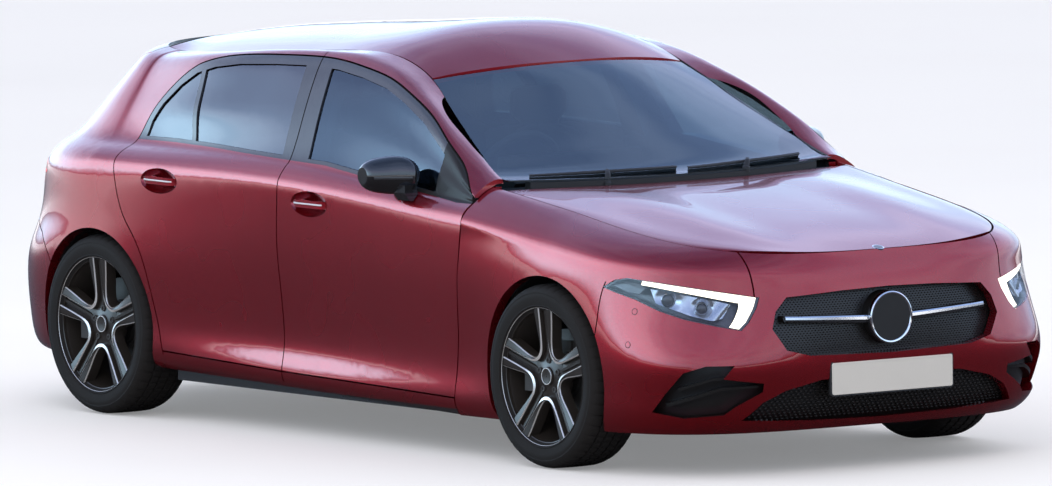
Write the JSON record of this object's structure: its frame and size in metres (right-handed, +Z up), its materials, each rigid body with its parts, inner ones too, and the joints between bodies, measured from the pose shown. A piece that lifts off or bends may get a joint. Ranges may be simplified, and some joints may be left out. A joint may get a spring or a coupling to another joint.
{
  "type": "hatchback car",
  "caption": "Five-door hatchback car with opening doors, bonnet and tailgate, steered front wheels and a fitted cabin.",
  "frame": {"origin": "on the ground under the middle of the car", "axes": "+X forward, +Y to the car's left, +Z up"},
  "size_m": [4.4197, 1.992, 1.4412],
  "materials": {
    "paint": "metallic gloss",
    "gloss_black": "gloss",
    "black_plastic": "matte",
    "tyre": "matte",
    "rim": "machined and black",
    "glass": "clear",
    "lamp_glass": "clear",
    "red_lamp": "gloss",
    "lamp_inner": "bright",
    "underbody": "satin",
    "steel": "satin",
    "engine": "cast",
    "fabric": "woven"
  },
  "bodies": {
    "body": {"underbody": "underbody", "side_frame_right": "paint", "side_frame_left": "paint", "roof_panel": "paint", "front_wing_right": "paint", "front_wing_left": "paint", "front_bumper": "paint", "grilles": "black_plastic", "rear_bumper": "paint", "rear_diffuser": "black_plastic", "headlamp_housings": "lamp_inner", "headlamp_lenses": "lamp_glass", "tail_lamps": "red_lamp", "windscreen": "glass", "cowl": "black_plastic", "dashboard": "black_plastic", "front_seats": "fabric", "rear_seat": "fabric", "engine": "engine", "exhaust": "steel", "front_subframe": "steel", "rear_axle": "steel"},
    "steering": {"steering_wheel": "black_plastic"},
    "bonnet": {"bonnet": "paint"},
    "tailgate": {"tailgate": "paint", "tailgate_glass": "glass", "tailgate_lamps": "red_lamp"},
    "front_door_right": {"front_door_right": "paint", "front_glass_right": "glass", "mirror_right": "gloss_black"},
    "front_door_left": {"front_door_left": "paint", "front_glass_left": "glass", "mirror_left": "gloss_black"},
    "rear_door_right": {"rear_door_right": "paint", "rear_glass_right": "glass"},
    "rear_door_left": {"rear_door_left": "paint", "rear_glass_left": "glass"},
    "knuckle_right": {"knuckle_right": "steel"},
    "knuckle_left": {"knuckle_left": "steel"},
    "front_wheel_right": {"front_tyre_right": "tyre", "front_rim_right": "rim"},
    "front_wheel_left": {"front_tyre_left": "tyre", "front_rim_left": "rim"},
    "rear_wheel_right": {"rear_tyre_right": "tyre", "rear_rim_right": "rim"},
    "rear_wheel_left": {"rear_tyre_left": "tyre", "rear_rim_left": "rim"}
  },
  "joints": [
    {"name": "front_door_right", "type": "hinge", "parent": "body", "child": "front_door_right", "pos_m": [0.866, -0.886, 0.6], "axis": [0, 0, 1], "range_deg": [0, 68]},
    {"name": "rear_door_right", "type": "hinge", "parent": "body", "child": "rear_door_right", "pos_m": [-0.25, -0.878, 0.6], "axis": [0, 0, 1], "range_deg": [0, 66]},
    {"name": "steer_right", "type": "hinge", "parent": "body", "child": "knuckle_right", "pos_m": [1.3615, -0.76, 0.322], "axis": [0, 0, 1], "range_deg": [-32, 32]},
    {"name": "front_wheel_right", "type": "hinge", "parent": "knuckle_right", "child": "front_wheel_right", "pos_m": [1.3615, -0.7835, 0.322], "axis": [0, 1, 0], "continuous": true},
    {"name": "rear_wheel_right", "type": "hinge", "parent": "body", "child": "rear_wheel_right", "pos_m": [-1.3675, -0.7735, 0.322], "axis": [0, 1, 0], "continuous": true},
    {"name": "front_door_left", "type": "hinge", "parent": "body", "child": "front_door_left", "pos_m": [0.866, 0.886, 0.6], "axis": [0, 0, -1], "range_deg": [0, 68]},
    {"name": "rear_door_left", "type": "hinge", "parent": "body", "child": "rear_door_left", "pos_m": [-0.25, 0.878, 0.6], "axis": [0, 0, -1], "range_deg": [0, 66]},
    {"name": "steer_left", "type": "hinge", "parent": "body", "child": "knuckle_left", "pos_m": [1.3615, 0.76, 0.322], "axis": [0, 0, 1], "range_deg": [-32, 32]},
    {"name": "front_wheel_left", "type": "hinge", "parent": "knuckle_left", "child": "front_wheel_left", "pos_m": [1.3615, 0.7835, 0.322], "axis": [0, 1, 0], "continuous": true},
    {"name": "rear_wheel_left", "type": "hinge", "parent": "body", "child": "rear_wheel_left", "pos_m": [-1.3675, 0.7735, 0.322], "axis": [0, 1, 0], "continuous": true},
    {"name": "steering_wheel", "type": "hinge", "parent": "body", "child": "steering", "pos_m": [0.5, -0.37, 0.925], "axis": [-0.9135, 0, 0.4067], "range_deg": [-480, 480]},
    {"name": "bonnet", "type": "hinge", "parent": "body", "child": "bonnet", "pos_m": [0.955, 0, 0.925], "axis": [0, -1, 0], "range_deg": [0, 55]},
    {"name": "tailgate", "type": "hinge", "parent": "body", "child": "tailgate", "pos_m": [-1.482, 0, 1.33], "axis": [0, 1, 0], "range_deg": [0, 80]}
  ],
  "couplings": [
    {"joint": "steer_left", "follows": "steer_right", "ratio": 1}
  ]
}
